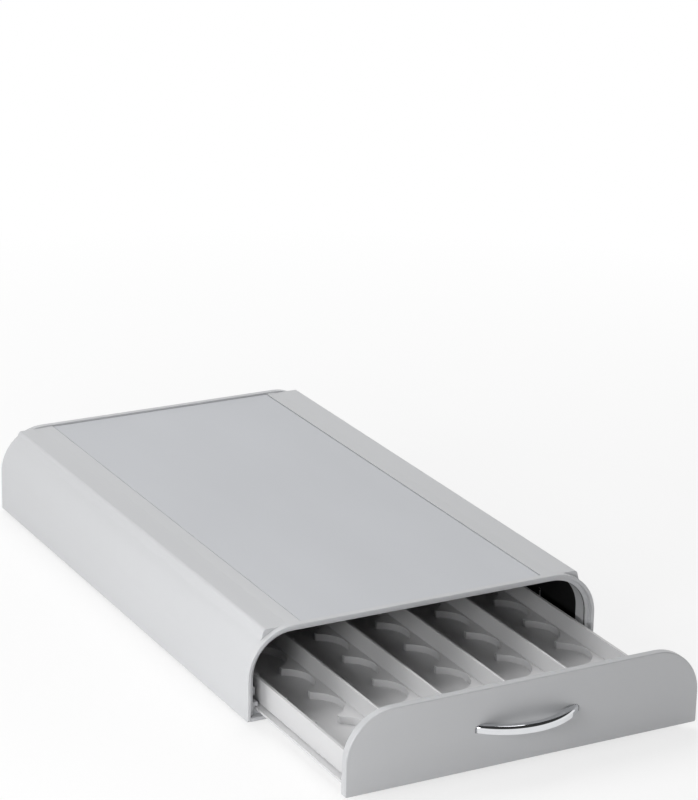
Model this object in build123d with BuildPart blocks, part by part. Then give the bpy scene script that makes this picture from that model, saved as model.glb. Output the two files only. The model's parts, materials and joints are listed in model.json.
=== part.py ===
# Coffee pod drawer: a low arched casing that an appliance stands on, with one wide
# drawer whose five lanes hold the pods upside down in scalloped seats.
#
# Millimetres, +Z up, the drawer opens towards -Y. The origin is at the bottom centre
# of the whole object with its drawer drawn out as far as drawer_open says.

import math
import os

from build123d import *

os.makedirs("parts", exist_ok=True)

# ---------------------------------------------------------------- driving dimensions

# Casing: heights are measured from the foot of its side walls
casing_width = 237.0
casing_depth = 384.0
casing_height = 56.2
wall = 2.2
arch_radius = 30.0
crease_inset = 11.8
crease_drop = 1.2
crease_lean = 14.0
crease_rounding = 2.6
crease_foot_rounding = 6.0
shoulder_inset = 27.7
shoulder_rise = 0.4
rim_depth = 4.0
rim_recess = 3.0
lip_width = 2.4
rim_edge_rounding = 0.5

# Platform plate let into the roof
plate_border = 36.9
plate_thickness = 1.9
plate_edge_rounding = 0.4
plate_recess_depth = 3.0
plate_gap = 0.6
roof_thickness = 2.2
roof_rib_depth = 3.0
roof_rib_thickness = 1.6
roof_rib_margin = 16.0
roof_cross_ribs = 7
roof_long_ribs = 3

# Front frame, floor plate and feet
frame_depth = 11.5
sill_height = 2.2
cheek_thickness = 1.8
cheek_top_drop = 12.2
rear_panel_thickness = 1.8
floor_plate_lift = 0.6
floor_plate_thickness = 2.0
floor_rib_height = 1.5
floor_rib_thickness = 2.0
floor_rib_margin = 5.0
floor_long_ribs = 4
floor_cross_ribs = 5
foot_radius = 8.0
foot_proud = 2.0
foot_seat_depth = 1.0
foot_inset_x = 24.0
foot_inset_y = 34.0
foot_edge_chamfer = 0.6

# Drawer tray: the flange is the tray floor carried out past the side walls
tray_top = 22.3
tray_underside = 5.0
tray_floor = 1.5
tray_wall = 1.7
tray_end_wall = 1.6
flange_width = 3.8
foot_groove_height = 0.8
foot_groove_depth = 0.7
lanes = 5
seat_length = 37.2
seat_radius = 18.9
seat_nib_height = 4.4
seat_nib_gap = 15.0
divider_thickness = 1.6
divider_edge_rounding = 0.4
slot_rib_thickness = 1.2
slot_rib_depth = 2.4
stop_lug_height = 5.2
stop_lug_level = 11.4
stop_lug_length = 8.0
stop_lug_inset = 74.0
stop_tab_length = 4.0
stop_catch = 1.2

# Runners that the flange slides in
runner_web_thickness = 4.75
runner_ledge_width = 5.9
runner_lip_overlap = 1.4
runner_lip_thickness = 2.4
runner_lip_rounding = 0.6

# Drawer front and its handle
front_bottom = 2.75
front_side_gap = 0.4
front_top_gap = 2.3
front_radius = 29.5
front_foot_radius = 1.2
front_thickness = 5.2
front_skin = 2.4
front_edge_rounding = 0.8
front_rib_thickness = 1.6
front_ribs_per_lane = 2
handle_half_length = 34.2
handle_reach = 15.0
handle_end_reach = 5.5
handle_end_rounding = 5.0
handle_bar = 8.4
handle_foot_width = 8.7
handle_height = 5.2
handle_level = 28.0
handle_edge_rounding = 1.0
handle_screw_from_end = 5.2

# Screws
casing_screws_per_side = 4
casing_screw_inset = 2.75
casing_screw_radius = 1.2
casing_screw_head_radius = 2.3
casing_screw_length = 14.0
casing_boss_radius = 3.0
casing_boss_height = 11.0
drawer_screw_radius = 1.2
drawer_screw_head_radius = 2.6
drawer_screw_head_height = 1.5
drawer_screw_pad_radius = 4.0
drawer_screw_level = 14.5
front_pilot_depth = 4.0
handle_pilot_depth = 3.0
handle_screw_bite = 2.0

# Clearances
running_gap = 0.3
channel_gap = 0.5
fit_gap = 0.15
screw_hole_gap = 0.15
closing_gap = 0.3

# Where the drawer stands at rest: its front face ahead of the casing's front rim
drawer_open = 116.3

# ------------------------------------------------------------------- derived values

half_width = casing_width / 2
inner_half_width = half_width - wall
mouth_half_width = inner_half_width - lip_width
inner_top = casing_height - wall
inner_radius = arch_radius - wall
mouth_top = inner_top - lip_width
mouth_radius = inner_radius - lip_width
end_wall_back = rim_recess + wall
frame_back = end_wall_back + frame_depth - wall
inside_back = casing_depth - end_wall_back
body_length = inside_back - frame_back - 2 * fit_gap
crease_half_span = half_width - crease_inset
crease_height = casing_height - crease_drop
plate_half_width = half_width - plate_border
plate_recess_floor = casing_height - plate_recess_depth

# Across the runners and the tray, from the side wall inwards
flange_top = tray_underside + tray_floor
runner_outer = inner_half_width - fit_gap
runner_web_inner = runner_outer - runner_web_thickness
flange_half_width = runner_web_inner - channel_gap
runner_lip_inner = flange_half_width - runner_lip_overlap
runner_ledge_inner = flange_half_width - runner_ledge_width
runner_top = flange_top + channel_gap + runner_lip_thickness
ledge_top = tray_underside - running_gap
tray_half_width = flange_half_width - flange_width
tray_inner_half = tray_half_width - tray_wall
casing_screw_half_span = runner_outer - casing_screw_inset
stop_lug_outer = casing_screw_half_span - casing_boss_radius - running_gap
lane_width = (2 * tray_inner_half - (lanes - 1) * divider_thickness) / lanes
lane_pitch = lane_width + divider_thickness

# Along the drawer: as many seats as the casing takes with the drawer shut
shut_front = rim_recess - closing_gap - front_thickness
tray_room = inside_back - shut_front - front_thickness - running_gap
seats_per_lane = int((tray_room - 2 * tray_end_wall) // seat_length)
tray_inner_length = seats_per_lane * seat_length
tray_length = tray_inner_length + 2 * tray_end_wall

front_half_width = inner_half_width - front_side_gap
front_top = inner_top - front_top_gap
front_height = front_top - front_bottom
front_middle = (front_bottom + front_top) / 2
handle_screw_x = handle_half_length - handle_screw_from_end

# Drawer travel: back until the front meets the lip, out until the lugs meet the tabs
travel_in = drawer_open + shut_front
lug_at_rest = front_thickness - drawer_open + tray_length - stop_lug_inset
travel_out = lug_at_rest - frame_back - closing_gap

# The casing's front rim lies at this Y, so that the whole object is centred
front_y = (drawer_open + handle_reach - casing_depth) / 2

# A rectangle that stands on its location and spreads evenly to both sides
FROM_FOOT = (Align.CENTER, Align.MIN)


def casing_section(y):
    """Upright plane across the casing, y behind its front rim, facing the front."""
    return Plane(origin=(0, front_y + y, foot_proud), x_dir=(1, 0, 0), z_dir=(0, -1, 0))


def casing_level(z):
    """Level plane z above the foot of the casing walls, its Y counted from the front rim."""
    return Plane(origin=(0, front_y, foot_proud + z))


def drawer_section(y):
    """Upright plane across the drawer, y behind its front face, facing the front."""
    return casing_section(y - drawer_open)


def drawer_level(z):
    """Level plane for the drawer, its Y counted from the drawer's front face."""
    return Plane(origin=(0, front_y - drawer_open, foot_proud + z))


def arch(half_span, top, radius):
    """Face with a flat foot at height 0, upright sides and two round top corners."""
    with BuildSketch() as face:
        Rectangle(2 * half_span, top, align=FROM_FOOT)
        fillet(face.vertices().group_by(Axis.Y)[-1], radius=radius)
    return face.sketch


def mouth_arch(grow=0.0):
    """The arch of the casing's end openings, made larger all round by grow."""
    return arch(mouth_half_width + grow, mouth_top + grow, mouth_radius + grow)


def shell_section():
    """Section of the casing between its rims. The sides follow the arch up to where a
    steep ridge stands on it, whose top is the crease, and inside the crease the roof
    lifts a little at a shoulder, to the border of the platform plate."""
    centre = Vector(half_width - arch_radius, casing_height - arch_radius)
    crease = Vector(crease_half_span, crease_height)
    downhill = Vector(0, -1).rotate(Axis.Z, crease_lean)
    along = (centre - crease).dot(downhill)
    aside = (centre - crease).cross(downhill).length
    crease_foot = crease + downhill * (along - math.sqrt(arch_radius**2 - aside**2))
    leaves_at = math.degrees(math.atan2(crease_foot.Y - centre.Y, crease_foot.X - centre.X))
    border = (plate_half_width + plate_gap, crease_height + shoulder_rise)
    with BuildSketch() as face:
        with BuildLine():
            Line((half_width, 0), (half_width, centre.Y))
            CenterArc(centre, arch_radius, 0, leaves_at)
            Polyline(crease_foot, crease, (half_width - shoulder_inset, crease_height))
            TangentArc(border, (half_width - shoulder_inset, crease_height), tangent=(1, 0))
            mirror(about=Plane.YZ)
            Line((-border[0], border[1]), border)
            Line((-half_width, 0), (half_width, 0))
        make_face()
        for x, rounding in ((crease.X, crease_rounding), (crease_foot.X, crease_foot_rounding)):
            corners = face.vertices().filter_by(lambda corner: abs(abs(corner.X) - x) < fit_gap)
            fillet(corners, radius=rounding)
    return face.sketch


def spread(count, length):
    """Places of count items spread over a length, half a step in from each end."""
    return [length * (i + 0.5) / count for i in range(count)]


screw_rows = [frame_back + fit_gap + y for y in spread(casing_screws_per_side, body_length)]
casing_screw_places = [
    (side * casing_screw_half_span, y) for side in (-1, 1) for y in screw_rows
]

# ------------------------------------------------------------------------- top shell
# Roof, sides and both end rims in one moulding, open underneath. The rims stand
# proud of the leaning sides between them, and an end wall behind each makes the lip.

with BuildPart() as top_shell:
    with BuildSketch(casing_section(rim_depth)):
        add(shell_section())
    extrude(amount=-(casing_depth - 2 * rim_depth))
    for y in (0, casing_depth - rim_depth):
        with BuildSketch(casing_section(y)):
            add(arch(half_width, casing_height, arch_radius))
        extrude(amount=-rim_depth)

    # The hollow, open at the foot
    with BuildSketch(casing_section(end_wall_back)):
        add(shell_section())
        offset(amount=-wall, mode=Mode.REPLACE)
        Rectangle(2 * inner_half_width, 2 * wall)
    extrude(amount=-(inside_back - end_wall_back), mode=Mode.SUBTRACT)
    for y in (0, casing_depth - rim_recess):
        with BuildSketch(casing_section(y)):
            add(arch(inner_half_width, inner_top, inner_radius))
        extrude(amount=-rim_recess, mode=Mode.SUBTRACT)
    for y in (rim_recess, inside_back):
        with BuildSketch(casing_section(y)):
            add(mouth_arch())
        extrude(amount=-wall, mode=Mode.SUBTRACT)

    # Roof under the platform plate, with ribs beneath it, then the plate's recess
    with BuildSketch(casing_level(plate_recess_floor - roof_thickness)):
        with Locations((0, casing_depth / 2)):
            Rectangle(2 * (plate_half_width + plate_gap + wall), inside_back - end_wall_back)
    extrude(amount=roof_thickness + crease_height - plate_recess_floor)
    with BuildSketch(casing_level(plate_recess_floor - roof_thickness)):
        for y in spread(roof_cross_ribs, casing_depth):
            with Locations((0, y)):
                Rectangle(2 * plate_half_width, roof_rib_thickness)
        for x in spread(roof_long_ribs, 2 * plate_half_width):
            with Locations((x - plate_half_width, casing_depth / 2)):
                Rectangle(roof_rib_thickness, casing_depth - 2 * (end_wall_back + roof_rib_margin))
    extrude(amount=-roof_rib_depth)
    with BuildSketch(casing_level(plate_recess_floor)):
        with Locations((0, casing_depth / 2)):
            Rectangle(2 * (plate_half_width + plate_gap), casing_depth - 2 * rim_depth)
    extrude(amount=casing_height - plate_recess_floor, mode=Mode.SUBTRACT)

    # Screw bosses down the side walls, standing on the runners
    with BuildSketch(casing_level(runner_top)):
        with Locations(*casing_screw_places):
            Circle(casing_boss_radius)
        with Locations((0, casing_depth / 2)):
            Rectangle(2 * inner_half_width + wall, casing_depth, mode=Mode.INTERSECT)
    extrude(amount=casing_boss_height)
    with BuildSketch(casing_level(runner_top)):
        with Locations(*casing_screw_places):
            Circle(casing_screw_radius)
    extrude(amount=casing_boss_height - wall, mode=Mode.SUBTRACT)

    rim_faces = top_shell.faces().filter_by(Axis.Y).sort_by(Axis.Y)
    fillet(rim_faces[0].edges() + rim_faces[-1].edges(), radius=rim_edge_rounding)
top_shell.part.label = "top_shell"
export_step(top_shell.part, "parts/top_shell.step")

# ------------------------------------------------------------------------- top panel
# The platform plate that the appliance stands on, let in just below the rims.

with BuildPart() as top_panel:
    with BuildSketch(casing_level(plate_recess_floor)):
        with Locations((0, casing_depth / 2)):
            Rectangle(2 * plate_half_width, casing_depth - 2 * (rim_depth + plate_gap))
    extrude(amount=plate_thickness)
    fillet(top_panel.faces().sort_by(Axis.Z)[-1].edges(), radius=plate_edge_rounding)
top_panel.part.label = "top_panel"
export_step(top_panel.part, "parts/top_panel.step")

# ----------------------------------------------------------------------- front frame
# Sill and two cheeks that line the drawer mouth. Each cheek's foot is the mouth of a
# runner, and the tab above it catches the drawer's stop lug.

with BuildPart() as front_frame:
    # Sill, notched at both ends where it passes the casing's lip
    with BuildSketch(casing_level(0)):
        with Locations((0, frame_back / 2)):
            Rectangle(2 * runner_outer, frame_back)
        notch_width = 2 * (half_width - mouth_half_width + fit_gap)
        with Locations(*[(side * half_width, rim_recess + wall / 2) for side in (-1, 1)]):
            Rectangle(notch_width, wall + 2 * fit_gap, mode=Mode.SUBTRACT)
    extrude(amount=sill_height)

    # Cheeks along the arch, each with a runner's channel through its foot
    with BuildSketch(casing_section(end_wall_back + fit_gap)):
        add(mouth_arch(grow=cheek_thickness))
        add(mouth_arch(), mode=Mode.SUBTRACT)
        with Locations((0, casing_height - cheek_top_drop)):
            Rectangle(casing_width, casing_height, align=FROM_FOOT, mode=Mode.SUBTRACT)
        Rectangle(2 * runner_outer, runner_top, align=FROM_FOOT)
        Rectangle(2 * runner_lip_inner, runner_top, align=FROM_FOOT, mode=Mode.SUBTRACT)
        with Locations((0, ledge_top)):
            channel_height = flange_top + channel_gap - ledge_top
            Rectangle(2 * runner_web_inner, channel_height, align=FROM_FOOT, mode=Mode.SUBTRACT)
        Rectangle(2 * runner_web_inner, ledge_top, align=FROM_FOOT)
        Rectangle(2 * runner_ledge_inner, ledge_top, align=FROM_FOOT, mode=Mode.SUBTRACT)
    extrude(amount=-(frame_back - end_wall_back - fit_gap))

    # Stop tabs on the cheeks
    with BuildSketch(casing_level(stop_lug_level)):
        tab_inner = stop_lug_outer - stop_catch
        with Locations((0, frame_back - stop_tab_length / 2)):
            Rectangle(2 * mouth_half_width + cheek_thickness, stop_tab_length)
            Rectangle(2 * tab_inner, stop_tab_length, mode=Mode.SUBTRACT)
    extrude(amount=stop_lug_height)
front_frame.part.label = "front_frame"
export_step(front_frame.part, "parts/front_frame.step")

# ------------------------------------------------------------------------ rear panel
# Closes the back: its step plugs the rear mouth and its flange lies in the rear rim.

with BuildPart() as rear_panel:
    with BuildSketch(casing_section(casing_depth - rim_recess)):
        add(arch(inner_half_width - fit_gap, inner_top - fit_gap, inner_radius - fit_gap))
    extrude(amount=-rear_panel_thickness)
    with BuildSketch(casing_section(casing_depth - rim_recess)):
        add(mouth_arch(grow=-fit_gap))
    extrude(amount=wall - fit_gap)
    fillet(rear_panel.faces().sort_by(Axis.Y)[-1].edges(), radius=rim_edge_rounding)
rear_panel.part.label = "rear_panel"
export_step(rear_panel.part, "parts/rear_panel.step")

# ----------------------------------------------------------------------- floor plate
# Closes the casing underneath, ribbed on top, recessed below for the feet and the
# countersunk heads of the casing screws.

floor_plate_top = floor_plate_lift + floor_plate_thickness
foot_places = {
    "front_left": (-half_width + foot_inset_x, foot_inset_y),
    "front_right": (half_width - foot_inset_x, foot_inset_y),
    "rear_left": (-half_width + foot_inset_x, casing_depth - foot_inset_y),
    "rear_right": (half_width - foot_inset_x, casing_depth - foot_inset_y),
}

with BuildPart() as floor_plate:
    with BuildSketch(casing_level(floor_plate_lift)):
        with Locations((0, frame_back + fit_gap + body_length / 2)):
            Rectangle(2 * runner_outer, body_length)
    extrude(amount=floor_plate_thickness)
    with BuildSketch(casing_level(floor_plate_top)):
        rib_reach = runner_ledge_inner - floor_rib_margin
        for x in spread(floor_long_ribs, 2 * rib_reach):
            with Locations((x - rib_reach, frame_back + fit_gap + body_length / 2)):
                Rectangle(floor_rib_thickness, body_length - 2 * floor_rib_margin)
        for y in spread(floor_cross_ribs, body_length):
            with Locations((0, frame_back + fit_gap + y)):
                Rectangle(2 * rib_reach, floor_rib_thickness)
    extrude(amount=floor_rib_height)
    with BuildSketch(casing_level(floor_plate_lift)):
        with Locations(*foot_places.values()):
            Circle(foot_radius + fit_gap)
    extrude(amount=foot_seat_depth, mode=Mode.SUBTRACT)
    # The countersinks face down, so their plane is turned over and its Y runs back
    under_side = Plane(
        origin=(0, front_y, foot_proud + floor_plate_lift), x_dir=(1, 0, 0), z_dir=(0, 0, -1)
    )
    with Locations(under_side):
        with Locations(*[(x, -y) for x, y in casing_screw_places]):
            CounterSinkHole(
                radius=casing_screw_radius + screw_hole_gap,
                counter_sink_radius=casing_screw_head_radius,
                depth=floor_plate_thickness,
            )
floor_plate.part.label = "floor_plate"
export_step(floor_plate.part, "parts/floor_plate.step")

# --------------------------------------------------------------------------- runners
# Channels on the floor plate beside the drawer. The flange slides on the ledge and
# under the lip, and the casing screws pass up through the web.

for side, name in ((-1, "left_runner"), (1, "right_runner")):
    with BuildPart() as runner:
        with BuildSketch(casing_section(frame_back + fit_gap)):
            with Locations((side * (runner_outer + runner_ledge_inner) / 2, floor_plate_top)):
                runner_width = runner_outer - runner_ledge_inner
                Rectangle(runner_width, runner_top - floor_plate_top, align=FROM_FOOT)
            with Locations((0, ledge_top)):
                channel_height = flange_top + channel_gap - ledge_top
                Rectangle(2 * runner_web_inner, channel_height, align=FROM_FOOT, mode=Mode.SUBTRACT)
            with Locations((0, flange_top)):
                Rectangle(2 * runner_lip_inner, runner_top, align=FROM_FOOT, mode=Mode.SUBTRACT)
        extrude(amount=-body_length)
        lip_edges = runner.edges().filter_by(Axis.Y).filter_by(
            lambda edge: abs(abs(edge.center().X) - runner_lip_inner) < fit_gap
        )
        fillet(lip_edges, radius=runner_lip_rounding)
        with BuildSketch(casing_level(floor_plate_top)):
            with Locations(*[(side * casing_screw_half_span, y) for y in screw_rows]):
                Circle(casing_screw_radius + screw_hole_gap)
        extrude(amount=runner_top, mode=Mode.SUBTRACT)
    runner.part.label = name
    export_step(runner.part, f"parts/{name}.step")

# ------------------------------------------------------------------------------ feet

for place, (x, y) in foot_places.items():
    with BuildPart() as foot:
        with BuildSketch(Plane(origin=(x, front_y + y, 0))):
            Circle(foot_radius)
        extrude(amount=foot_proud + floor_plate_lift + foot_seat_depth)
        chamfer(foot.faces().sort_by(Axis.Z)[0].edges(), length=foot_edge_chamfer)
    foot.part.label = f"foot_{place}"
    export_step(foot.part, f"parts/foot_{place}.step")

# --------------------------------------------------------------------- casing screws
# Countersunk screws from below, through floor plate and runner into the shell.

head_drop = casing_screw_head_radius - casing_screw_radius - screw_hole_gap
with BuildPart() as casing_screws:
    with BuildSketch(Plane.XZ):
        with BuildLine():
            Polyline(
                (0, 0),
                (casing_screw_head_radius - screw_hole_gap, 0),
                (casing_screw_radius, head_drop),
                (casing_screw_radius, casing_screw_length),
                (0, casing_screw_length),
                close=True,
            )
        make_face()
    screw = revolve(axis=Axis.Z, mode=Mode.PRIVATE)
    with Locations(casing_level(floor_plate_lift + fit_gap)):
        with Locations(*casing_screw_places):
            add(screw)
casing_screws.part.label = "casing_screws"
export_step(casing_screws.part, "parts/casing_screws.step")

# ----------------------------------------------------------------------- drawer tray
# Floor with a flange down each side, four walls, ribs that hold the dividers' ends,
# and in every lane two scalloped strips whose nibs stand between the pod rims.

lane_centres = [(i - (lanes - 1) / 2) * lane_pitch for i in range(lanes)]
divider_places = [x + lane_pitch / 2 for x in lane_centres[:-1]]
seats_front = front_thickness + tray_end_wall
tray_middle = front_thickness + tray_length / 2
front_screw_places = [x for x in lane_centres if abs(x) > lane_pitch / 2]

with BuildPart() as drawer_tray:
    with BuildSketch(drawer_level(tray_underside)):
        with Locations((0, tray_middle)):
            Rectangle(2 * flange_half_width, tray_length)
    extrude(amount=tray_floor)
    with BuildSketch(drawer_level(flange_top)):
        with Locations((0, tray_middle)):
            Rectangle(2 * tray_half_width, tray_length)
            Rectangle(2 * tray_inner_half, tray_inner_length, mode=Mode.SUBTRACT)
    extrude(amount=tray_top - flange_top)

    # Shadow groove along the foot of each side wall
    with BuildSketch(drawer_level(flange_top)):
        for side in (-1, 1):
            with Locations((side * tray_half_width, tray_middle)):
                Rectangle(2 * foot_groove_depth, tray_length)
    extrude(amount=foot_groove_height, mode=Mode.SUBTRACT)

    # Rib pairs that the ends of the dividers slide down between
    with BuildSketch(drawer_level(flange_top)):
        slot_half = divider_thickness / 2 + fit_gap + slot_rib_thickness / 2
        for y in (
            seats_front + slot_rib_depth / 2,
            seats_front + tray_inner_length - slot_rib_depth / 2,
        ):
            for x in divider_places:
                with Locations((x - slot_half, y), (x + slot_half, y)):
                    Rectangle(slot_rib_thickness, slot_rib_depth)
    extrude(amount=tray_top - flange_top)

    # Scalloped seat strips
    with BuildSketch(drawer_level(flange_top)):
        for x in lane_centres:
            with Locations((x, seats_front + tray_inner_length / 2)):
                Rectangle(lane_width - 2 * fit_gap, tray_inner_length)
                Rectangle(seat_nib_gap, tray_inner_length, mode=Mode.SUBTRACT)
                with GridLocations(0, seat_length, 1, seats_per_lane):
                    Circle(seat_radius, mode=Mode.SUBTRACT)
    extrude(amount=seat_nib_height)

    # Stop lugs: square ahead, sloped behind so that the drawer can be put in
    with BuildSketch(drawer_level(stop_lug_level)):
        with BuildLine():
            lug_front = front_thickness + tray_length - stop_lug_inset
            Polyline(
                (tray_half_width - tray_wall / 2, lug_front),
                (stop_lug_outer, lug_front),
                (stop_lug_outer, lug_front + stop_lug_length / 4),
                (tray_half_width - tray_wall / 2, lug_front + stop_lug_length),
                close=True,
            )
        make_face()
        mirror(about=Plane.YZ)
    extrude(amount=stop_lug_height)

    # Holes for the screws that hold the drawer front
    with BuildSketch(drawer_section(front_thickness)):
        with Locations(*[(x, drawer_screw_level) for x in front_screw_places]):
            Circle(drawer_screw_radius + screw_hole_gap)
    extrude(amount=-tray_end_wall, mode=Mode.SUBTRACT)
drawer_tray.part.label = "drawer_tray"
export_step(drawer_tray.part, "parts/drawer_tray.step")

# -------------------------------------------------------------------------- dividers
# Loose strips that part the lanes; they lift out of the slots at either end.

for number, x in enumerate(divider_places, start=1):
    with BuildPart() as divider:
        with BuildSketch(drawer_level(flange_top)):
            with Locations((x, seats_front + tray_inner_length / 2)):
                Rectangle(divider_thickness, tray_inner_length - 2 * fit_gap)
        extrude(amount=tray_top - flange_top)
        fillet(
            divider.faces().sort_by(Axis.Z)[-1].edges().filter_by(Axis.Y),
            radius=divider_edge_rounding,
        )
    divider.part.label = f"divider_{number}"
    export_step(divider.part, f"parts/divider_{number}.step")

# ---------------------------------------------------------------------- drawer front
# Arched moulding, cored out at the back between ribs, with solid pads where the
# handle's screws pass and where the tray's screws bite.

rib_pitch = lane_pitch / front_ribs_per_lane
front_rib_count = lanes * front_ribs_per_lane + 1
core_depth = front_thickness - front_skin
handle_screw_places = [(side * handle_screw_x, handle_level) for side in (-1, 1)]
tray_screw_places = [(x, drawer_screw_level) for x in front_screw_places]

with BuildPart() as drawer_front:
    with BuildSketch(drawer_section(0)) as outline:
        with Locations((0, front_bottom)):
            Rectangle(2 * front_half_width, front_height, align=FROM_FOOT)
        fillet(outline.vertices().group_by(Axis.Y)[-1], radius=front_radius)
        fillet(outline.vertices().group_by(Axis.Y)[0], radius=front_foot_radius)
    extrude(amount=-front_thickness)
    fillet(drawer_front.faces().sort_by(Axis.Y)[0].edges(), radius=front_edge_rounding)
    chamfer(drawer_front.faces().sort_by(Axis.Y)[-1].edges(), length=front_edge_rounding / 2)

    with BuildSketch(drawer_section(front_skin)) as coring:
        with Locations((0, front_bottom)):
            Rectangle(2 * front_half_width, front_height, align=FROM_FOOT)
        fillet(coring.vertices().group_by(Axis.Y)[-1], radius=front_radius)
        offset(amount=-front_skin, mode=Mode.REPLACE)
        with Locations((0, front_middle)):
            with GridLocations(rib_pitch, 0, front_rib_count, 1):
                Rectangle(front_rib_thickness, front_height, mode=Mode.SUBTRACT)
        with Locations((0, tray_top), (0, (tray_top + front_top) / 2)):
            Rectangle(2 * front_half_width, front_rib_thickness, mode=Mode.SUBTRACT)
        with Locations(*handle_screw_places, *tray_screw_places):
            Circle(drawer_screw_pad_radius, mode=Mode.SUBTRACT)
    extrude(amount=-core_depth, mode=Mode.SUBTRACT)

    with BuildSketch(drawer_section(0)):
        with Locations(*handle_screw_places):
            Circle(drawer_screw_radius + screw_hole_gap)
    extrude(amount=-front_thickness, mode=Mode.SUBTRACT)
    with BuildSketch(drawer_section(front_thickness)):
        with Locations(*tray_screw_places):
            Circle(drawer_screw_radius)
    extrude(amount=front_pilot_depth, mode=Mode.SUBTRACT)
drawer_front.part.label = "drawer_front"
export_step(drawer_front.part, "parts/drawer_front.step")

# ---------------------------------------------------------------------------- handle
# A flat bow that springs from the drawer front with rounded shoulders and broad feet.

handle_inner_half = handle_half_length - handle_foot_width
with BuildPart() as handle:
    with BuildSketch(drawer_level(handle_level - handle_height / 2)) as bow:
        with BuildLine():
            ends = [(side * handle_half_length, -handle_end_reach) for side in (-1, 1)]
            ThreePointArc(ends[0], (0, -handle_reach), ends[1])
            Polyline(ends[1], (handle_half_length, 0), (handle_inner_half, 0))
            ThreePointArc(
                (handle_inner_half, 0), (0, handle_bar - handle_reach), (-handle_inner_half, 0)
            )
            Polyline((-handle_inner_half, 0), (-handle_half_length, 0), ends[0])
        make_face()
        fillet(bow.vertices().group_by(Axis.Y)[0], radius=handle_end_rounding)
    extrude(amount=handle_height)
    on_front = handle.faces().sort_by(Axis.Y)[-1].edges() + handle.faces().sort_by(Axis.Y)[-2].edges()
    flat_faces = handle.faces().filter_by(Axis.Z)
    fillet([edge for edge in flat_faces.edges() if edge not in on_front], radius=handle_edge_rounding)
    with BuildSketch(drawer_section(0)):
        with Locations(*handle_screw_places):
            Circle(drawer_screw_radius)
    extrude(amount=handle_pilot_depth, mode=Mode.SUBTRACT)
handle.part.label = "handle"
export_step(handle.part, "parts/handle.step")

# --------------------------------------------------------------------- drawer screws
# Pan-head screws: two from behind the front into the handle, four from inside the
# tray into the front.

def pan_screw(length):
    """Screw along +Y from the underside of its head, its point at -Y."""
    with BuildPart() as one_screw:
        with BuildSketch(Plane.XZ):
            Circle(drawer_screw_head_radius)
        extrude(amount=-drawer_screw_head_height)
        chamfer(one_screw.faces().sort_by(Axis.Y)[-1].edges(), length=drawer_screw_head_height / 3)
        with BuildSketch(Plane.XZ):
            Circle(drawer_screw_radius)
        extrude(amount=length)
    return one_screw.part


screw_groups = {
    "handle_screws": (handle_screw_places, front_thickness, front_thickness + handle_screw_bite),
    "front_screws": (tray_screw_places, seats_front, tray_end_wall + core_depth),
}
for name, (places, seat_y, length) in screw_groups.items():
    screw = pan_screw(length)
    with BuildPart() as screws:
        for x, z in places:
            with Locations((x, front_y - drawer_open + seat_y, foot_proud + z)):
                add(screw)
    screws.part.label = name
    export_step(screws.part, f"parts/{name}.step")

print(f"front rim at y {front_y:.2f}; drawer travels {travel_in:.2f} in and {travel_out:.2f} out")
print(f"tray {tray_length:.1f} long, lane {lane_width:.2f} wide at pitch {lane_pitch:.2f}")
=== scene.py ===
# %% [markdown]
# # A low drawer in an arched casing, dressed for its picture
#
# The object is a low casing moulded in silver-grey plastic. An arch at each end frames
# it, its sides rise to a soft crease, and a flat platform plate lies in its roof. A
# wide drawer with five lanes slides out at the front by a chromed bow handle.
#
# The solid model arrives ready-made, in metres, as the frame. This lesson gives every
# part its finish, remakes the few parts whose beauty is in small curves, and then sets
# up floor, lamps and camera. Nothing in the frame is moved.

import json
import math

import bmesh
import bpy
from mathutils import Matrix, Vector


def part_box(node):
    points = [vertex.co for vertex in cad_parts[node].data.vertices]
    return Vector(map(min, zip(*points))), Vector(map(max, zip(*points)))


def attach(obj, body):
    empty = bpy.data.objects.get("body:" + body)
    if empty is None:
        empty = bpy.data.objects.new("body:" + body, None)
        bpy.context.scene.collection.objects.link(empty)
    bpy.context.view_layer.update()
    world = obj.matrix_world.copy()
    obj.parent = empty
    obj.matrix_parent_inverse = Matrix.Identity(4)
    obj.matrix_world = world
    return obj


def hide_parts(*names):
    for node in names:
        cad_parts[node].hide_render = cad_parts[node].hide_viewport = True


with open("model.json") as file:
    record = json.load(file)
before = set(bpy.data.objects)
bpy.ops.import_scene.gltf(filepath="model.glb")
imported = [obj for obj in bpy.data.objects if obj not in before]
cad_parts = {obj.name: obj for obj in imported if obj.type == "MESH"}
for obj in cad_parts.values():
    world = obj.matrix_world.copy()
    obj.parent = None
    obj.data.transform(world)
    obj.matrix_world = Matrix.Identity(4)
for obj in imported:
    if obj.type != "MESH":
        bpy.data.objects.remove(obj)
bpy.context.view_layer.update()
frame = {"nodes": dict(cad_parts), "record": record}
nodes = frame["nodes"]

# %% [markdown]
# ## Measures taken from the frame
#
# A new piece must sit where its solid sits, so the places of all new pieces are read
# from the solids' own boxes. A millimetre is the unit a moulder thinks in. Points less
# than a hundredth of one apart count as being in the same place.

# %% Millimetres and the parts' boxes
MM = 0.001
SAME_PLACE = 0.01 * MM
DOUBLED_POINTS = 0.002 * MM


def middle_and_size(node):
    """Centre and size of a part's box."""
    low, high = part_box(node)
    return (low + high) / 2, high - low


print("casing", [round(side / MM, 1) for side in middle_and_size("top_shell")[1]], "mm")

# %% [markdown]
# ## A small language for surface patterns
#
# A finish is arithmetic on patterns: a little grain plus a little unevenness, times a
# mask. Blender stores that as a web of nodes. Wrapping a node's socket in a class with
# Python's own operators lets the web be written as a formula. Colours and vectors stay
# away from these operators, because a Math node would turn them grey.

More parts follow.
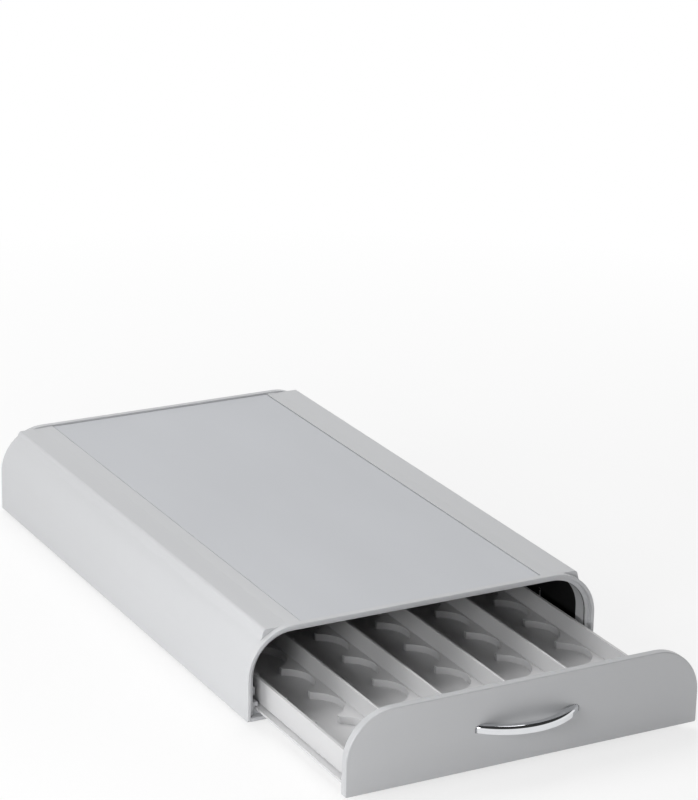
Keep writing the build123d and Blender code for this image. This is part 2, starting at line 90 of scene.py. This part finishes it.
# %% Sockets that can be added and multiplied
class Wire:
    """One output socket. Arithmetic on it adds Math nodes to its web."""

    def __init__(self, web, socket):
        self.web = web
        self.socket = socket

    def _math(self, operation, first, second):
        settings = {"operation": operation}
        return self.web.node("ShaderNodeMath", settings, {0: first, 1: second})

    def __add__(self, other):
        return self._math("ADD", self, other)

    def __radd__(self, other):
        return self._math("ADD", other, self)

    def __sub__(self, other):
        return self._math("SUBTRACT", self, other)

    def __rsub__(self, other):
        return self._math("SUBTRACT", other, self)

    def __mul__(self, other):
        return self._math("MULTIPLY", self, other)

    def __rmul__(self, other):
        return self._math("MULTIPLY", other, self)

    def above(self, limit):
        """1 where the value is above a limit, 0 elsewhere."""
        return self._math("GREATER_THAN", self, limit)

    def below(self, limit):
        """1 where the value is below a limit, 0 elsewhere."""
        return self._math("LESS_THAN", self, limit)


# %% [markdown]
# A material and the world are both such webs. One method adds any node: its settings
# come first, because they decide which sockets it has, and then its sockets' values.

# %% A web of nodes
class Web:
    """A tree of nodes, of a material or of the world."""

    def __init__(self, tree):
        self.tree = tree

    def node(self, kind, settings=None, values=None, output=0):
        """Add a node, its settings first, then its sockets' values or links."""
        made = self.tree.nodes.new(kind)
        for name, value in (settings or {}).items():
            if name == "stops":
                self._set_stops(made.color_ramp, value)
            else:
                setattr(made, name, value)
        for name, value in (values or {}).items():
            self.feed(made.inputs[name], value)
        return Wire(self, made.outputs[output])

    @staticmethod
    def _set_stops(ramp, stops):
        while len(ramp.elements) < len(stops):
            ramp.elements.new(0.5)
        for element, (position, level) in zip(ramp.elements, stops):
            element.position = position
            element.color = (level, level, level, 1.0)

    def feed(self, socket, value):
        """Set a socket's value, or link it where the value is a wire."""
        if isinstance(value, Wire):
            self.tree.links.new(value.socket, socket)
        else:
            socket.default_value = value

    def steps(self, value, *stops):
        """Bend a value through (position, level) stops."""
        return self.node("ShaderNodeValToRGB", {"stops": stops}, {"Fac": value})

    def parts(self, vector):
        """The three numbers of a vector."""
        first = self.node("ShaderNodeSeparateXYZ", None, {"Vector": vector})
        return [Wire(self, output) for output in first.socket.node.outputs]

    def ray(self, kind):
        """1 for rays of one kind, 0 for the others."""
        return self.node("ShaderNodeLightPath", output=f"Is {kind} Ray")


# %% A finish, which is the web of one material
class Finish(Web):
    """A material whose one Principled shader is fed by patterns in object space."""

    def __init__(self, name):
        self.material = bpy.data.materials.new(name)
        self.material.use_nodes = True
        super().__init__(self.material.node_tree)
        self.shader = self.tree.nodes["Principled BSDF"]
        self.place = self.node("ShaderNodeTexCoord", output="Object")

    def set(self, **sockets):
        """Feed the shader's sockets; a name's underscores stand for spaces."""
        for name, value in sockets.items():
            self.feed(self.shader.inputs[name.replace("_", " ")], value)

    def noise(self, size, detail=2.0, stretch=(1, 1, 1)):
        """Cloudy pattern from 0 to 1 whose blotches measure about one size."""
        values = {"Vector": self.place, "Scale": stretch}
        scaled = self.node("ShaderNodeMapping", None, values)
        values = {"Vector": scaled, "Scale": 1 / size, "Detail": detail}
        return self.node("ShaderNodeTexNoise", None, values)

    def blend(self, factor, first, second):
        """Mix two colours."""
        values = {0: factor, 6: first, 7: second}
        return self.node("ShaderNodeMix", {"data_type": "RGBA"}, values, output=2)

    def bump(self, height, depth, under=None):
        """Normal of a height pattern, depth in metres from its 0 to its 1."""
        values = {"Height": height, "Distance": depth, "Strength": 1.0}
        if under is not None:
            values["Normal"] = under
        return self.node("ShaderNodeBump", None, values)


# %% Colours as they look on a screen
def linear(*levels):
    """Colour from screen levels 0 to 255, as a linear colour with full alpha."""
    shares = [level / 255 for level in levels]
    curve = [s / 12.92 if s <= 0.04045 else ((s + 0.055) / 1.055) ** 2.4 for s in shares]
    return (*curve, 1.0)


def toned(colour, share):
    """A linear colour made darker or lighter, at most white."""
    return (*(min(1.0, share * level) for level in colour[:3]), 1.0)


print("mid grey is", [round(level, 3) for level in linear(128, 128, 128)])

# %% [markdown]
# ## Where the casing is dark inside: unsprayed plastic and painted shade
#
# Only the outside of the casing has its silver. Inside, where the drawer runs, the
# moulding is unsprayed and dark, as one sees where the wall goes on behind the lit
# cheek of the mouth. It is painted nearly black, darker than such plastic would be, as
# painted shade of the deep inside. A face is inside when it looks towards the casing's
# long axis, which a dot product of its normal and its place tells. The ribs and bosses
# under the roof look sideways and to the front, so a box takes them in as well, and the
# back panel is inside where it looks to the front. The recess of the plate is left out,
# as it lies above all of them.

# %% Mask of the inside, unsprayed and with painted shade
DARK_INSIDE_FROM = -122.0 * MM
DARK_INSIDE_TO = 252.6 * MM
AXIS_HEIGHT = 10 * MM
INNER_REACH = 116 * MM
INNER_TOP = 53 * MM
UNDER_PLATE = 54.8 * MM
BACK_FROM = 200 * MM
CLEARLY_INWARD = -0.02
HARDLY_OUTWARD = 0.02
TO_THE_FRONT = -0.5


# The mask marks where the casing's inside gets unsprayed plastic and painted shade.
def unsprayed_and_shaded_inside(finish):
    """1 on the casing's inner faces, 0 on its outer faces and rims."""
    normal = finish.node("ShaderNodeTexCoord", output="Normal")
    from_axis = finish.node(
        "ShaderNodeVectorMath", {"operation": "MULTIPLY_ADD"},
        {0: finish.place, 1: (1, 0, 1), 2: (0, 0, -AXIS_HEIGHT)},
    )
    leaving = finish.node(
        "ShaderNodeVectorMath", {"operation": "DOT_PRODUCT"},
        {0: normal, 1: from_axis}, output=1,
    )
    x, y, z = finish.parts(finish.place)
    facing_axis = leaving.below(CLEARLY_INWARD)
    in_box = (x * x).below(INNER_REACH**2) * z.below(INNER_TOP) * y.below(DARK_INSIDE_TO)
    ribs = in_box * leaving.below(HARDLY_OUTWARD)
    back_panel = finish.parts(normal)[1].below(TO_THE_FRONT) * y.above(BACK_FROM)
    any_of_them = (facing_axis + ribs + back_panel).above(0.5)
    return any_of_them * z.below(UNDER_PLATE) * y.above(DARK_INSIDE_FROM)


# %% [markdown]
# ## Silver-grey moulded plastic
#
# Steel moulds are spark-eroded to a fine grain, which breaks up reflections, so the
# plastic reads as satin. Up close there are three scales: the grain at a third of a
# millimetre, an orange-peel waviness of a few millimetres, and slow blotches where the
# melt cooled unevenly. The blotches are drawn out along each part, as the melt flowed.
# A pattern drawn out along Y is one that is sampled more slowly along Y.
#
# One function makes all the plastics, because they differ only in colour, gloss and
# how deep the grain is. A trace of metal stands for the pearl in the silver ones.

# %% Moulded plastic finish
GRAIN_SIZE = 0.35 * MM
PEEL_SIZE = 3.5 * MM
PEEL_DEPTH = 0.012 * MM
CLOUD_SIZE = 45 * MM
SPECK_SIZE = 0.9 * MM
SPECKS_FROM = 0.70
SPECKS_FULL_AT = 0.78
DARKER = 0.94
LIGHTER = 1.04
PLASTIC_SHEEN = 0.35


def moulded_plastic(name, colour, roughness, grain, pearl=0.0, flow=(1, 1, 1), unsprayed_and_shaded=None):
    """Plastic with grain of a depth in metres, waviness and slow colour drift.

    The inside colour, where given, stands for unsprayed plastic and for painted shade deep
    inside the casing.
    """
    finish = Finish(name)
    fine = finish.noise(GRAIN_SIZE, detail=3.0)
    peel = finish.noise(PEEL_SIZE, detail=1.0)
    cloud = finish.noise(CLOUD_SIZE, detail=2.0, stretch=flow)
    dots = finish.noise(SPECK_SIZE, detail=0.0)
    speck = finish.steps(dots, (SPECKS_FROM, 0.0), (SPECKS_FULL_AT, 1.0))

    darker, lighter = toned(colour, DARKER), toned(colour, LIGHTER)
    tint = finish.blend(0.7 * cloud + 0.3 * fine, darker, lighter)
    tint = finish.blend(0.25 * speck, tint, darker)
    # Inside the casing the colour is unsprayed plastic darkened into painted shade.
    if unsprayed_and_shaded:
        inside = unsprayed_and_shaded_inside(finish)
        tint = finish.blend(inside, tint, unsprayed_and_shaded)
        pearl = pearl * (1 - inside)

    waves = finish.bump(peel, PEEL_DEPTH)
    finish.set(
        Base_Color=tint,
        Roughness=roughness + 0.10 * (fine - 0.5) + 0.06 * (cloud - 0.5),
        Metallic=pearl,
        Normal=finish.bump(fine, grain, under=waves),
        Specular_IOR_Level=PLASTIC_SHEEN,
    )
    return finish.material


# %% [markdown]
# The five plastics follow. The cheeks and sill of the mouth are a part of their own,
# sprayed all over, so they have the casing's silver without the dark of its inside,
# which is unsprayed plastic and painted shade. The platform plate is slightly cooler
# than the casing, and the drawer front a little darker.

# %% The plastics
SILVER = linear(205, 206, 208)
# Unsprayed plastic made nearly black as painted shade of the casing's deep inside.
UNSPRAYED_AND_SHADED = linear(30, 30, 31)
ALONG_Y = (1, 0.15, 1)

shell_plastic = moulded_plastic(
    "silver_grey_shell", SILVER, 0.42, 0.020 * MM, pearl=0.05, flow=ALONG_Y, unsprayed_and_shaded=UNSPRAYED_AND_SHADED
)
cheek_plastic = moulded_plastic("silver_grey_cheeks", SILVER, 0.42, 0.020 * MM, pearl=0.05)
platform_plastic = moulded_plastic(
    "platform_grey", linear(202, 204, 208), 0.44, 0.012 * MM, pearl=0.08, flow=(1, 0.3, 1)
)
front_plastic = moulded_plastic(
    "silver_grey_front", linear(196, 197, 199), 0.38, 0.014 * MM, pearl=0.12, flow=(0.2, 1, 1)
)
tray_plastic = moulded_plastic(
    "tray_light_grey", linear(208, 208, 209), 0.45, 0.016 * MM, flow=(1, 0.2, 1)
)
base_plastic = moulded_plastic("base_dark_grey", linear(92, 92, 94), 0.55, 0.03 * MM)
print("plastics:", [m.name for m in bpy.data.materials if "grey" in m.name])

# %% [markdown]
# ## Chrome, steel and rubber
#
# The handle is plated: a mirror with faint wipe marks along it. The screws are
# zinc-plated steel, duller and finely marked. The feet are rubber with a matt bloom.

# %% Chrome
def polished_chrome():
    """Bright plating with faint wipe marks and a trace of fine dust."""
    finish = Finish("handle_chrome")
    wipes = finish.noise(2.0 * MM, detail=4.0, stretch=(0.12, 1, 1))
    dust = finish.noise(0.5 * MM, detail=2.0)
    finish.set(
        Base_Color=finish.blend(wipes, linear(218, 220, 223), linear(229, 230, 232)),
        Metallic=1.0,
        Roughness=0.045 + 0.05 * wipes + 0.02 * dust,
        Normal=finish.bump(wipes, 0.0008 * MM),
    )
    return finish.material


# %% Plated steel and rubber
def plated_steel():
    """Zinc plating over rolled steel."""
    finish = Finish("screw_steel")
    marks = finish.noise(0.25 * MM, detail=2.0, stretch=(1, 1, 6))
    finish.set(
        Base_Color=finish.blend(marks, linear(150, 150, 148), linear(188, 187, 182)),
        Metallic=1.0,
        Roughness=0.28 + 0.15 * marks,
        Normal=finish.bump(marks, 0.004 * MM),
    )
    return finish.material


def foot_rubber():
    """Black rubber with a grey bloom and fine pores."""
    finish = Finish("foot_rubber")
    bloom = finish.noise(6 * MM, detail=3.0)
    pores = finish.noise(0.4 * MM, detail=2.0)
    finish.set(
        Base_Color=finish.blend(bloom, linear(34, 34, 35), linear(52, 52, 53)),
        Roughness=0.72 + 0.14 * pores,
        Normal=finish.bump(pores, 0.02 * MM),
    )
    return finish.material


# %% [markdown]
# ## Dressing the parts that keep their shape
#
# The record's own slot names say what each part is made of, so one table from slot to
# material dresses them all.

# %% Give each part its material
slot_materials = {
    "shell_grey": shell_plastic,
    "platform_grey": platform_plastic,
    "front_grey": front_plastic,
    "tray_grey": tray_plastic,
    "base_grey": base_plastic,
    "chrome": polished_chrome(),
    "screw_steel": plated_steel(),
    "foot_rubber": foot_rubber(),
}
slot_of = {row["node"]: row["material_slot"] for row in frame["record"]["subparts"]}

for node, part in nodes.items():
    part.data.materials.clear()
    part.data.materials.append(slot_materials[slot_of[node]])
nodes["front_frame"].data.materials[0] = cheek_plastic
print("dressed", len(nodes), "parts")

# %% [markdown]
# ## From a bmesh to a piece that rides
#
# Every remade piece ends the same way: doubled points are merged, faces turned outwards
# and smoothed, and the mesh becomes an object that rides on its body and stands in for
# its solid. Weighted normals let the large flat faces stay flat to the light while the
# small rounded edges beside them turn smoothly.

# %% Finish a piece
FLAT_FACE_WEIGHT = 80


def only(kind, items):
    """The verts, edges or faces among an operator's results."""
    return [item for item in items if isinstance(item, kind)]


def outward(shape):
    """Merge doubled points and turn all faces outwards."""
    bmesh.ops.remove_doubles(shape, verts=shape.verts, dist=DOUBLED_POINTS)
    bmesh.ops.recalc_face_normals(shape, faces=shape.faces)


def stand_in(name, shape, body, node):
    """Make the object of a finished bmesh, which takes a solid's place."""
    outward(shape)
    for face in shape.faces:
        face.smooth = True
    mesh = bpy.data.meshes.new(name)
    shape.to_mesh(mesh)
    shape.free()
    piece = bpy.data.objects.new(name, mesh)
    bpy.context.scene.collection.objects.link(piece)
    weighting = piece.modifiers.new("weighted_normals", "WEIGHTED_NORMAL")
    weighting.mode = "FACE_AREA"
    weighting.weight = FLAT_FACE_WEIGHT
    mesh.materials.append(slot_materials[slot_of[node]])
    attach(piece, body)
    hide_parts(node)
    print(name, len(mesh.polygons), "faces")


# %% [markdown]
# ## The bow handle
#
# A chromed bow shows its quality in the lines that run along it: a bright band in
# front, a crisp dark line above it and a thin bright one behind that. Seen from above
# the bow is a crescent. Two arcs, which a point leaves behind as it is spun, are
# mirrored and bridged by faces. Bridging is kinder than filling the outline with one
# face, because each face stays small and convex.

# %% Plan of the bow
BOW_REACH = 13.7 * MM
BOW_INNER_REACH = 7.6 * MM
BOW_FOOT_WIDTH = 9.8 * MM
BOW_ARC_STEPS = 24
UP = (0, 0, 1)


def half_arc(shape, half_chord, rise, wall_y, level):
    """Spin a point from the bow's middle to its foot on the wall."""
    radius = (half_chord**2 + rise**2) / (2 * rise)
    start = bmesh.ops.create_vert(shape, co=(0, wall_y - rise, level))["vert"]
    bmesh.ops.spin(
        shape, geom=start, cent=(0, wall_y - rise + radius, level), axis=UP,
        angle=math.asin(half_chord / radius), steps=BOW_ARC_STEPS, dvec=(0, 0, 0),
    )


def bow_plan(half, wall_y, level):
    """The bow seen from above: faces between its outer and its inner arc."""
    shape = bmesh.new()
    half_arc(shape, half, BOW_REACH, wall_y, level)
    half_arc(shape, half - BOW_FOOT_WIDTH, BOW_INNER_REACH, wall_y, level)
    half_lines = shape.verts[:] + shape.edges[:]
    bmesh.ops.mirror(shape, geom=half_lines, axis="X", merge_dist=SAME_PLACE)
    bmesh.ops.remove_doubles(shape, verts=shape.verts, dist=SAME_PLACE)
    bmesh.ops.bridge_loops(shape, edges=shape.edges[:])
    return shape


# %% [markdown]
# Raised, the crescent is bevelled all round but for its seats against the drawer
# front, and more at the top than below. The wide upper bevel turns from the floor's
# white to the dark ceiling and back to the drawer front, and so draws the lines.

# %% Raise and round the bow
BOW_TOP_EDGE = 2.2 * MM
BOW_LOW_EDGE = 0.8 * MM
BOW_EDGE_SEGMENTS = 8
SHARP = math.radians(45)


def rim_edges(shape, seat_y, level):
    """Sharp edges round the flat face at a level, apart from those on the seats."""
    def all_at(edge, axis, place):
        return all(abs(vert.co[axis] - place) < SAME_PLACE for vert in edge.verts)

    rims = [edge for edge in shape.edges if all_at(edge, 2, level)]
    rims = [edge for edge in rims if edge.calc_face_angle(0) > SHARP]
    return [edge for edge in rims if not all_at(edge, 1, seat_y)]


def make_handle():
    """The chromed bow on the drawer front."""
    low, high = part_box("handle")
    shape = bow_plan((high.x - low.x) / 2, high.y, low.z)
    raised = bmesh.ops.extrude_face_region(shape, geom=shape.faces[:])
    lifted = only(bmesh.types.BMVert, raised["geom"])
    bmesh.ops.translate(shape, verts=lifted, vec=(0, 0, high.z - low.z))
    outward(shape)
    for level, rounding in ((high.z, BOW_TOP_EDGE), (low.z, BOW_LOW_EDGE)):
        bmesh.ops.bevel(
            shape, geom=rim_edges(shape, high.y, level), offset=rounding, affect="EDGES",
            segments=BOW_EDGE_SEGMENTS, profile=0.5, material=-1,
        )
    stand_in("bow_handle", shape, "drawer", "handle")


make_handle()

# %% [markdown]
# ## Screws
#
# All the screws are hidden until the drawer is out or the casing turned over, but a
# screw without a recess looks like a rivet. Each head starts as a ring round a cross:
# the two outlines are bridged, and the cross is pushed down into the head. From the
# ring, the rim is carried outwards and then along the shank, one extrusion at a time.

# %% Outlines of a screw's head
SCREW_SIDES = 24
# Shares of the head's radius, the last one of its rise
HEAD_FLAT = 0.72
CROSS_ARM = 0.46
CROSS_HALF_WIDTH = 0.13
CROWN_REACH = 0.93
CROWN_DROP = 0.25


def cross_outline(shape, arm, width):
    """Twelve points and edges of a cross in the XY plane, wound one way."""
    quarter = [(width, arm), (width, width), (arm, width)]
    points = []
    for turn in range(4):
        spin = Matrix.Rotation(-turn * math.pi / 2, 3, "Z")
        points += [shape.verts.new(spin @ Vector((x, y, 0))) for x, y in quarter]
    return [shape.edges.new((points[i - 1], points[i])) for i in range(len(points))]


def extruded(shape, edges):
    """Extrude edges on the spot; the new points and edges come back."""
    moved = bmesh.ops.extrude_edge_only(shape, edges=edges)["geom"]
    verts = only(bmesh.types.BMVert, moved)
    fresh = set(verts)
    far = [edge for edge in only(bmesh.types.BMEdge, moved) if fresh.issuperset(edge.verts)]
    return verts, far


def flare(shape, edges, radius, level):
    """Carry a round rim out or in to a radius and a level."""
    verts, rim = extruded(shape, edges)
    for vert in verts:
        vert.co = vert.co.xy.normalized().to_3d() * radius + Vector((0, 0, level))
    return rim


# %% One whole screw
def screw_head(shape, radius, rise, recess):
    """Head round a cross recess, its flat top at 0 and its rim rise lower."""
    bmesh.ops.create_circle(
        shape, cap_ends=False, segments=SCREW_SIDES, radius=HEAD_FLAT * radius
    )
    rim = shape.edges[:]
    cross = cross_outline(shape, CROSS_ARM * radius, CROSS_HALF_WIDTH * radius)
    bmesh.ops.bridge_loops(shape, edges=rim + cross)
    sunk, pit_floor = extruded(shape, cross)
    bmesh.ops.translate(shape, verts=sunk, vec=(0, 0, -recess))
    bmesh.ops.edgeloop_fill(shape, edges=pit_floor)
    rim = flare(shape, rim, CROWN_REACH * radius, -CROWN_DROP * rise)
    return flare(shape, rim, radius, -rise)


def screw_mesh(head_radius, rise, head_depth, length, recess):
    """A whole screw along -Z from the top of its head; a depth of 0 is a cone."""
    shape = bmesh.new()
    rim = screw_head(shape, head_radius, rise, recess)
    if head_depth > rise:
        rim = flare(shape, rim, head_radius, -head_depth)
    cone_end = rise + head_radius - SHANK_RADIUS
    rim = flare(shape, rim, SHANK_RADIUS, -max(head_depth, cone_end))
    rim = flare(shape, rim, SHANK_RADIUS, -length)
    bmesh.ops.edgeloop_fill(shape, edges=rim)
    outward(shape)
    return shape


# %% [markdown]
# The solids hold one group of screws per node, as separate islands of one mesh. Each
# island's own box says where its screw stands, so no place is typed in twice. Sorting
# the islands keeps their order the same in every run.

# %% Find each screw in its group
def islands(node):
    """Lowest and highest corners of every separate solid in a part."""
    copy = bmesh.new()
    copy.from_mesh(nodes[node].data)
    bmesh.ops.remove_doubles(copy, verts=copy.verts, dist=DOUBLED_POINTS)
    boxes = []
    left = set(copy.verts)
    while left:
        group = [left.pop()]
        for vert in group:
            for edge in vert.link_edges:
                other = edge.other_vert(vert)
                if other in left:
                    left.remove(other)
                    group.append(other)
        low = Vector(min(vert.co[axis] for vert in group) for axis in range(3))
        high = Vector(max(vert.co[axis] for vert in group) for axis in range(3))
        boxes.append((low, high))
    copy.free()
    return sorted(boxes, key=lambda box: tuple(round(v, 5) for v in box[0]))


def place_screws(name, node, body, one, turn, head_face):
    """Copy one screw to each island of a group, its head's top at head_face."""
    group = bmesh.new()
    pattern = bpy.data.meshes.new(f"{name}_pattern")
    one.to_mesh(pattern)
    one.free()
    for low, high in islands(node):
        before = len(group.verts)
        group.from_mesh(pattern)
        group.verts.ensure_lookup_table()
        place = Matrix.Translation(head_face(low, high)) @ turn
        bmesh.ops.transform(group, matrix=place, verts=group.verts[before:])
    bpy.data.meshes.remove(pattern)
    stand_in(name, group, body, node)


# %% [markdown]
# Front and handle are held by pan heads that look to the back, and the casing by
# countersunk ones that look down.

# %% The three groups of screws
SHANK_RADIUS = 1.2 * MM
PAN_RADIUS = 2.6 * MM
PAN_RISE = 0.5 * MM
PAN_DEPTH = 1.5 * MM
PAN_RECESS = 0.9 * MM
SUNK_RISE = 0.02 * MM
SUNK_RECESS = 0.8 * MM
facing_back = Matrix.Rotation(-math.pi / 2, 4, "X")
facing_down = Matrix.Rotation(math.pi, 4, "X")

pan_groups = (("front_screw_set", "front_screws"), ("handle_screw_set", "handle_screws"))
for group_name, node in pan_groups:
    low, high = islands(node)[0]
    one = screw_mesh(PAN_RADIUS, PAN_RISE, PAN_DEPTH, high.y - low.y, PAN_RECESS)
    place_screws(
        group_name, node, "drawer", one, facing_back,
        lambda low, high: Vector(((low.x + high.x) / 2, high.y, (low.z + high.z) / 2)),
    )

low, high = islands("casing_screws")[0]
one = screw_mesh((high.x - low.x) / 2, SUNK_RISE, 0.0, high.z - low.z, SUNK_RECESS)
place_screws(
    "casing_screw_set", "casing_screws", "casing", one, facing_down,
    lambda low, high: Vector(((low.x + high.x) / 2, (low.y + high.y) / 2, low.z)),
)

# %% [markdown]
# ## Rubber feet
#
# A foot is a moulded disc. Its underside has two grip rings round a shallow dimple,
# which a spin of one profile makes in a single step.

# %% Feet
FOOT_SIDES = 40
# Share of the foot's radius, and height above its lowest ring
FOOT_UNDERSIDE = [
    (0.0, 0.6 * MM), (0.30, 0.5 * MM), (0.36, 0.0), (0.46, 0.0), (0.50, 0.45 * MM),
    (0.62, 0.45 * MM), (0.66, 0.0), (0.86, 0.0), (0.95, 0.2 * MM), (1.0, 0.6 * MM),
]


def make_foot(node):
    """Ringed rubber foot in the place of its plain disc."""
    middle, size = middle_and_size(node)
    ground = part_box(node)[0].z
    radius = size.x / 2
    shape = bmesh.new()
    points = [
        shape.verts.new((middle.x + share * radius, middle.y, ground + rise))
        for share, rise in FOOT_UNDERSIDE + [(1.0, size.z), (0.0, size.z)]
    ]
    edges = [shape.edges.new(pair) for pair in zip(points, points[1:])]
    bmesh.ops.spin(
        shape, geom=points + edges, cent=(middle.x, middle.y, 0), axis=UP,
        angle=2 * math.pi, steps=FOOT_SIDES, use_merge=True, dvec=(0, 0, 0),
    )
    stand_in(f"ringed_{node}", shape, "casing", node)


for node in sorted(nodes):
    if node.startswith("foot_"):
        make_foot(node)

# %% [markdown]
# ## Floor and backdrop
#
# The picture has a plain white ground. The floor is white too, and what the camera
# sees of it is lifted towards white, a little round the object and fully farther out.
# So it meets the white world without a line, yet keeps the object's soft shadow.
# Mirrors and glass see the same white floor.

# %% Floor
FLOOR_REACH = 6.0
FLOOR_WHITE = linear(246, 246, 246)
FLOOR_GLOW = 0.72
SHADOW_TO = 0.35
WHITE_FROM = 0.90


def make_floor():
    """A large plane at the level of the feet."""
    mesh = bpy.data.meshes.new("floor")
    shape = bmesh.new()
    bmesh.ops.create_grid(shape, x_segments=2, y_segments=2, size=FLOOR_REACH)
    shape.to_mesh(mesh)
    shape.free()
    floor = bpy.data.objects.new("floor", mesh)
    bpy.context.scene.collection.objects.link(floor)

    finish = Finish("floor_white")
    finish.set(Base_Color=FLOOR_WHITE, Roughness=0.9)
    away = finish.node(
        "ShaderNodeVectorMath", {"operation": "LENGTH"}, {0: finish.place}, output=1
    )
    far = finish.steps(away, (SHADOW_TO, 0.0), (WHITE_FROM, 1.0))
    seen = finish.ray("Camera") + finish.ray("Glossy") + finish.ray("Transmission")
    white = seen * (FLOOR_GLOW + (1 - FLOOR_GLOW) * far)
    glow = finish.node(
        "ShaderNodeEmission", None, {"Color": (1, 1, 1, 1), "Strength": 1.0}
    )
    lit = Wire(finish, finish.shader.outputs[0])
    mixed = finish.node("ShaderNodeMixShader", None, {0: white, 1: lit, 2: glow})
    finish.feed(finish.tree.nodes["Material Output"].inputs["Surface"], mixed)
    mesh.materials.append(finish.material)
    return floor


print("floor", [round(side, 1) for side in make_floor().dimensions[:2]], "m")

# %% [markdown]
# ## Light
#
# A pale studio with a dim ceiling: the sky is lighter near the horizon than overhead,
# and the camera sees it white. Polished metal sees it white near the horizon too, and
# dark overhead, which draws the crisp dark line along the top edge of the handle.

# %% World
SKY_LOW = 0.55
SKY_HIGH = 0.25
SKY_HIGH_FROM = 0.6
MIRROR_WHITE_TO = 0.28
MIRROR_DARK_FROM = 0.42
MIRROR_DARK = 0.04


def make_world():
    """Graded grey light, seen as white by the camera and, low down, in mirrors."""
    world = bpy.data.worlds.new("studio")
    world.use_nodes = True
    bpy.context.scene.world = world
    sky = Web(world.node_tree)
    height = sky.parts(sky.node("ShaderNodeTexCoord", output="Generated"))[2]
    spread = sky.steps(height, (0.0, SKY_LOW), (SKY_HIGH_FROM, SKY_HIGH))
    mirrored = sky.steps(height, (MIRROR_WHITE_TO, 1.0), (MIRROR_DARK_FROM, MIRROR_DARK))
    glossy = sky.ray("Glossy")
    light = (1 - glossy) * spread + glossy * mirrored
    white = sky.node(
        "ShaderNodeMath", {"operation": "MAXIMUM"},
        {0: sky.ray("Camera"), 1: sky.ray("Transmission")},
    )
    background = world.node_tree.nodes["Background"]
    background.inputs["Color"].default_value = (1.0, 1.0, 1.0, 1.0)
    sky.feed(background.inputs["Strength"], white + (1 - white) * light)


make_world()
print("world", bpy.context.scene.world.name)

# %% [markdown]
# Soft boxes give the sides their different levels. The large one on the left makes the
# casing's side the lightest face. The one above is behind the object, so the platform
# is lit and the drawer front, which faces away from it, is the darkest. A small one
# near the front's left end lets the drawer front fall off towards the right.

# %% Lamps
OBJECT_MIDDLE = (0.0, 0.0, 0.03)
FRONT_LEFT_END = (-0.1, -0.24, 0.03)
# Name, place, aim, width, height, power in watts
SOFT_BOXES = [
    ("left_box", (-1.5, 0.3, 0.9), OBJECT_MIDDLE, 1.2, 1.0, 9.2),
    ("top_box", (0.1, 0.7, 1.6), OBJECT_MIDDLE, 1.4, 1.0, 15.5),
    ("front_left_box", (-0.6, -0.55, 0.28), FRONT_LEFT_END, 0.25, 0.2, 2.0),
]

for name, place, aim, width, height, power in SOFT_BOXES:
    lamp = bpy.data.lights.new(name, "AREA")
    lamp.shape = "RECTANGLE"
    lamp.size, lamp.size_y = width, height
    lamp.energy = power
    holder = bpy.data.objects.new(name, lamp)
    bpy.context.scene.collection.objects.link(holder)
    holder.location = place
    towards = Vector(aim) - Vector(place)
    holder.rotation_euler = towards.to_track_quat("-Z", "Y").to_euler()
    print(name, power, "W,", round(towards.length, 2), "m away")

# %% [markdown]
# ## Camera
#
# The view is a long-lens one from the front left, 19 degrees above level. Its place and
# its three turns were found by matching the casing's straight edges.

# %% Camera
CAMERA_PLACE = (-0.8248, -1.5516, 0.7493)
CAMERA_PITCH = 19.002
CAMERA_YAW = 28.342
CAMERA_ROLL = 1.213
LENS_MM = 135.06
SENSOR_MM = 36.0
SEES_TO = 50.0

camera_data = bpy.data.cameras.new("camera")
camera_data.lens = LENS_MM
camera_data.sensor_width = SENSOR_MM
camera_data.clip_end = SEES_TO
camera = bpy.data.objects.new("camera", camera_data)
bpy.context.scene.collection.objects.link(camera)
turned = Matrix.Rotation(math.radians(-CAMERA_YAW), 4, "Z")
tipped = Matrix.Rotation(math.radians(90 - CAMERA_PITCH), 4, "X")
rolled = Matrix.Rotation(math.radians(CAMERA_ROLL), 4, "Z")
camera.matrix_world = Matrix.Translation(CAMERA_PLACE) @ turned @ tipped @ rolled
bpy.context.scene.camera = camera
bpy.context.scene.view_settings.view_transform = "Standard"
print("camera at", [round(v, 3) for v in camera.location])
